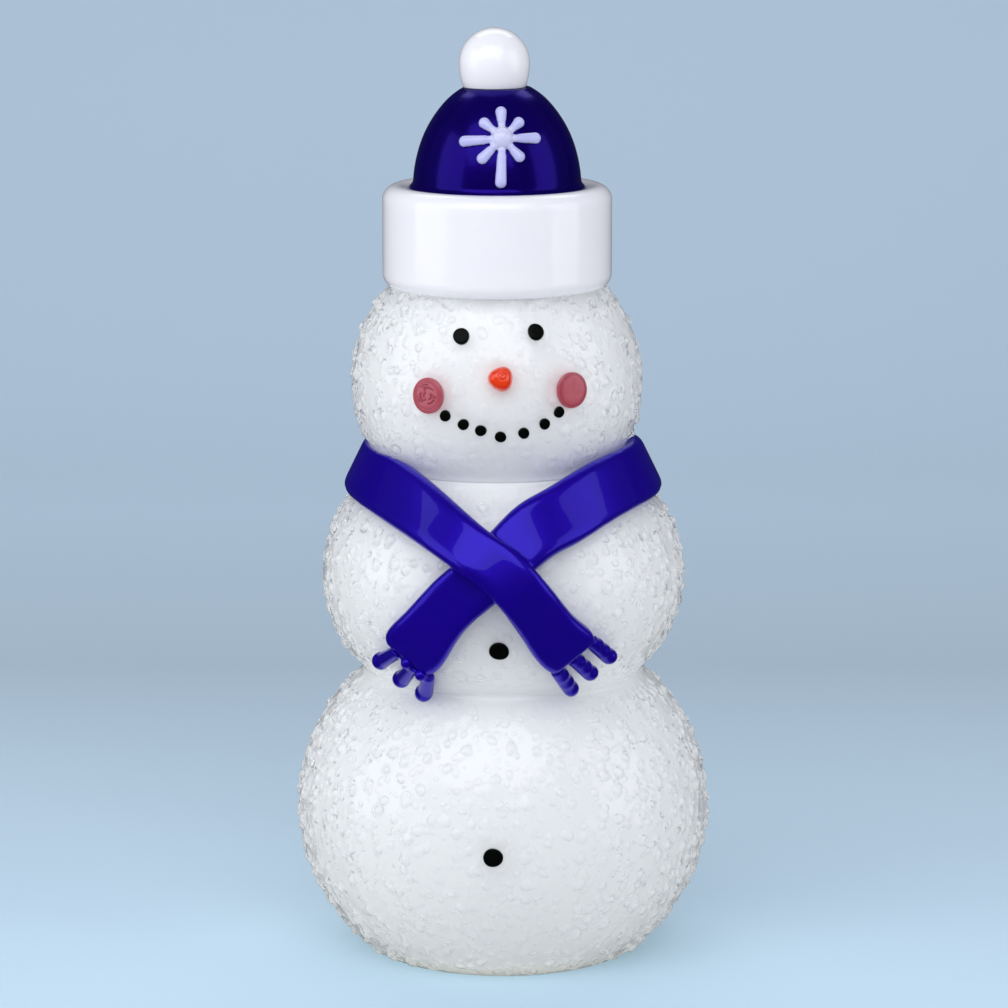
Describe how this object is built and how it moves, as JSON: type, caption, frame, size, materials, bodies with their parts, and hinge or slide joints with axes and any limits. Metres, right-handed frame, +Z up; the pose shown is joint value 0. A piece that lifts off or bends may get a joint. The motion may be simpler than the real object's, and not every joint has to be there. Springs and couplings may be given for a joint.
{
  "type": "glass snowman figurine",
  "caption": "Hand-blown glass snowman ornament: three fused balls with a crossed scarf, a cuffed cap with a bobble, and a face and buttons pressed into clear casings.",
  "frame": {"origin": "centre of the ground flat that it stands on", "axes": "+Z up, -Y out of the face, +X towards the right of someone who looks at the face"},
  "size_m": [0.1206, 0.1244, 0.2735],
  "materials": {
    "clear_glass": "clear, rolled in crushed glass and melted in, so bumpy outside",
    "opal_glass": "white opal, smooth",
    "white_glass": "opaque white, fire-polished",
    "snowflake_glass": "white trailed over cobalt, fire-polished",
    "cobalt_glass": "deep cobalt, nearly opaque, fire-polished",
    "black_glass": "opaque black, fire-polished",
    "orange_glass": "opaque orange red, fire-polished",
    "rose_glass": "opaque dusty rose, fire-polished"
  },
  "bodies": {
    "root": {"bottom_ball_bubble": "opal_glass", "bottom_ball_casing": "clear_glass", "button_lower": "black_glass", "button_upper": "black_glass", "cheek_left": "rose_glass", "cheek_right": "rose_glass", "eye_left": "black_glass", "eye_right": "black_glass", "fringe_left_1": "cobalt_glass", "fringe_left_2": "cobalt_glass", "fringe_left_3": "cobalt_glass", "fringe_right_1": "cobalt_glass", "fringe_right_2": "cobalt_glass", "fringe_right_3": "cobalt_glass", "hat_bobble": "white_glass", "hat_cap": "cobalt_glass", "hat_cuff": "white_glass", "head_bubble": "opal_glass", "head_casing": "clear_glass", "middle_ball_bubble": "opal_glass", "middle_ball_casing": "clear_glass", "mouth_bead_1": "black_glass", "mouth_bead_2": "black_glass", "mouth_bead_3": "black_glass", "mouth_bead_4": "black_glass", "mouth_bead_5": "black_glass", "mouth_bead_6": "black_glass", "mouth_bead_7": "black_glass", "nose": "orange_glass", "scarf": "cobalt_glass", "snowflake_bead": "snowflake_glass", "snowflake_ray_1": "snowflake_glass", "snowflake_ray_2": "snowflake_glass", "snowflake_ray_3": "snowflake_glass", "snowflake_ray_4": "snowflake_glass", "snowflake_ray_5": "snowflake_glass", "snowflake_ray_6": "snowflake_glass", "snowflake_ray_7": "snowflake_glass", "snowflake_ray_8": "snowflake_glass"}
  },
  "joints": []
}
